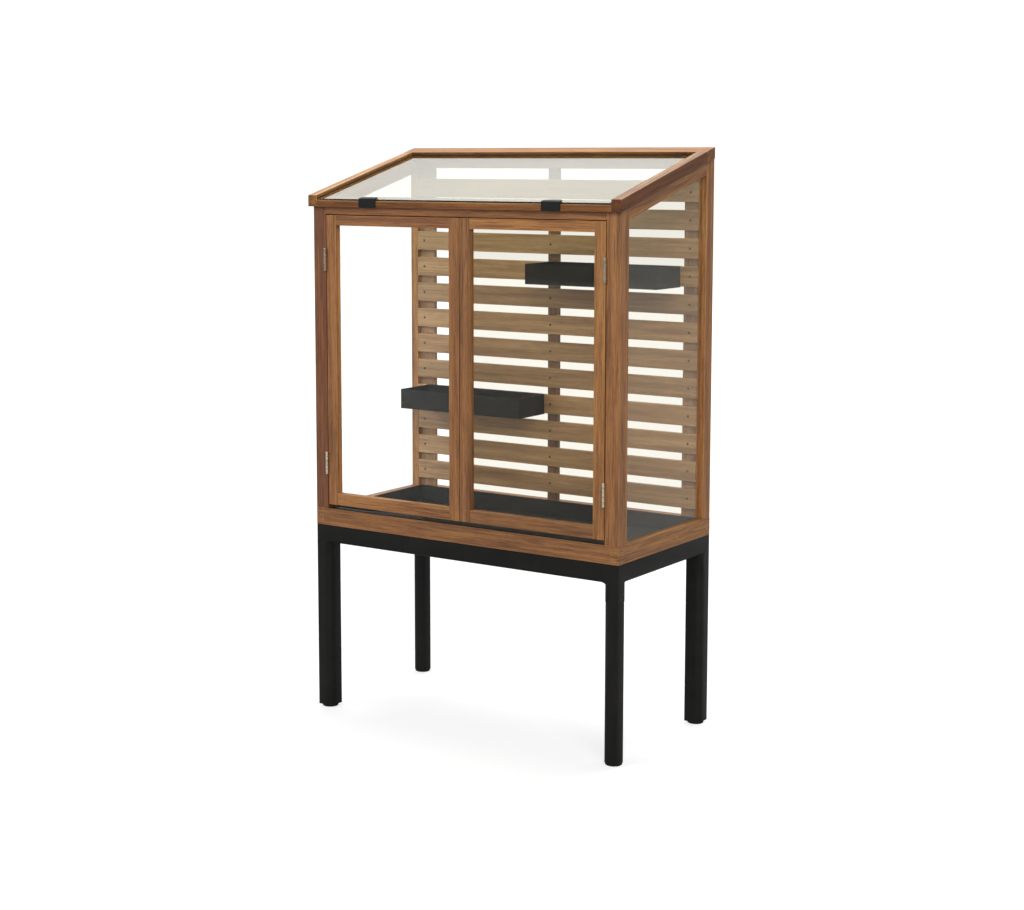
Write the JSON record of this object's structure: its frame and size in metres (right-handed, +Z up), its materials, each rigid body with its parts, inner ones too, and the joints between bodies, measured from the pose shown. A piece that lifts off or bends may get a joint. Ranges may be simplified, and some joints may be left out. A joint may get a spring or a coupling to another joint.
{
  "type": "glazed wooden mini greenhouse on a stand",
  "caption": "Tall glazed wooden cabinet for plants on a black stand, with double doors, a sloping hinged lid, a slatted back and hanging shelf trays.",
  "frame": {"origin": "on the floor, under the middle of the whole outline in X and Y", "axes": "+Z up; +X along the front, to the right of someone facing the doors; +Y from the doors to the slatted back"},
  "size_m": [0.924, 0.4646, 1.4562],
  "materials": {
    "frame_wood": "oiled mid-brown hardwood, fine straight grain, satin",
    "slat_wood": "the same hardwood, paler and duller, fine straight grain",
    "clear_glass": "clear polished sheet glass",
    "lid_glass": null,
    "stand_black": "black powder coat, satin",
    "tray_metal": "folded sheet, charcoal grey coat, satin",
    "brass": "brushed brass, slightly dull",
    "clip_black": "black moulded plastic",
    "foot_plastic": "black moulded plastic glide"
  },
  "bodies": {
    "cabinet": {"stand_frame": "stand_black", "leg_front_left": "stand_black", "leg_front_right": "stand_black", "leg_back_left": "stand_black", "leg_back_right": "stand_black", "foot_front_left": "foot_plastic", "foot_front_right": "foot_plastic", "foot_back_left": "foot_plastic", "foot_back_right": "foot_plastic", "base_board_front": "frame_wood", "base_board_back": "frame_wood", "base_board_left": "frame_wood", "base_board_right": "frame_wood", "plant_tray": "tray_metal", "post_front_left": "frame_wood", "post_front_right": "frame_wood", "post_back_left": "frame_wood", "post_back_right": "frame_wood", "side_rail_left": "frame_wood", "side_rail_right": "frame_wood", "front_top_rail": "frame_wood", "back_top_rail": "frame_wood", "side_pane_left": "clear_glass", "side_pane_right": "clear_glass", "back_batten_left": "slat_wood", "back_batten_centre": "slat_wood", "back_batten_right": "slat_wood", "back_slat_01": "slat_wood", "back_slat_02": "slat_wood", "back_slat_03": "slat_wood", "back_slat_04": "slat_wood", "back_slat_05": "slat_wood", "back_slat_06": "slat_wood", "back_slat_07": "slat_wood", "back_slat_08": "slat_wood", "back_slat_09": "slat_wood", "back_slat_10": "slat_wood", "back_slat_11": "slat_wood", "back_slat_12": "slat_wood", "hinge_left_upper_post_leaf": "brass", "hinge_left_lower_post_leaf": "brass", "hinge_right_upper_post_leaf": "brass", "hinge_right_lower_post_leaf": "brass", "lid_hinge_rail_leaf": "brass"},
    "left_door": {"door_frame_left": "frame_wood", "door_pane_left": "clear_glass", "hinge_left_upper_door_leaf": "brass", "hinge_left_lower_door_leaf": "brass"},
    "right_door": {"door_frame_right": "frame_wood", "door_pane_right": "clear_glass", "hinge_right_upper_door_leaf": "brass", "hinge_right_lower_door_leaf": "brass"},
    "lid": {"lid_frame": "frame_wood", "lid_front_rail": "frame_wood", "lid_pane": "lid_glass", "pane_clip_left": "clip_black", "pane_clip_right": "clip_black", "lid_hinge_lid_leaf": "brass"},
    "upper_shelf_tray": {"shelf_tray_upper": "tray_metal"},
    "lower_shelf_tray": {"shelf_tray_lower": "tray_metal"}
  },
  "joints": [
    {"name": "left_door_hinge", "type": "hinge", "parent": "cabinet", "child": "left_door", "pos_m": [-0.4145, -0.22275, 0.911], "axis": [0, 0, -1], "range_deg": [0, 170]},
    {"name": "right_door_hinge", "type": "hinge", "parent": "cabinet", "child": "right_door", "pos_m": [0.4145, -0.22275, 0.911], "axis": [0, 0, 1], "range_deg": [0, 170]},
    {"name": "lid_hinge", "type": "hinge", "parent": "cabinet", "child": "lid", "pos_m": [0, 0.22325, 1.42701], "axis": [-1, 0, 0], "range_deg": [0, 85]},
    {"name": "upper_tray_lift", "type": "slide", "parent": "cabinet", "child": "upper_shelf_tray", "axis": [0, 0, 1], "range_m": [0, 0.015]},
    {"name": "lower_tray_lift", "type": "slide", "parent": "cabinet", "child": "lower_shelf_tray", "axis": [0, 0, 1], "range_m": [0, 0.015]}
  ]
}
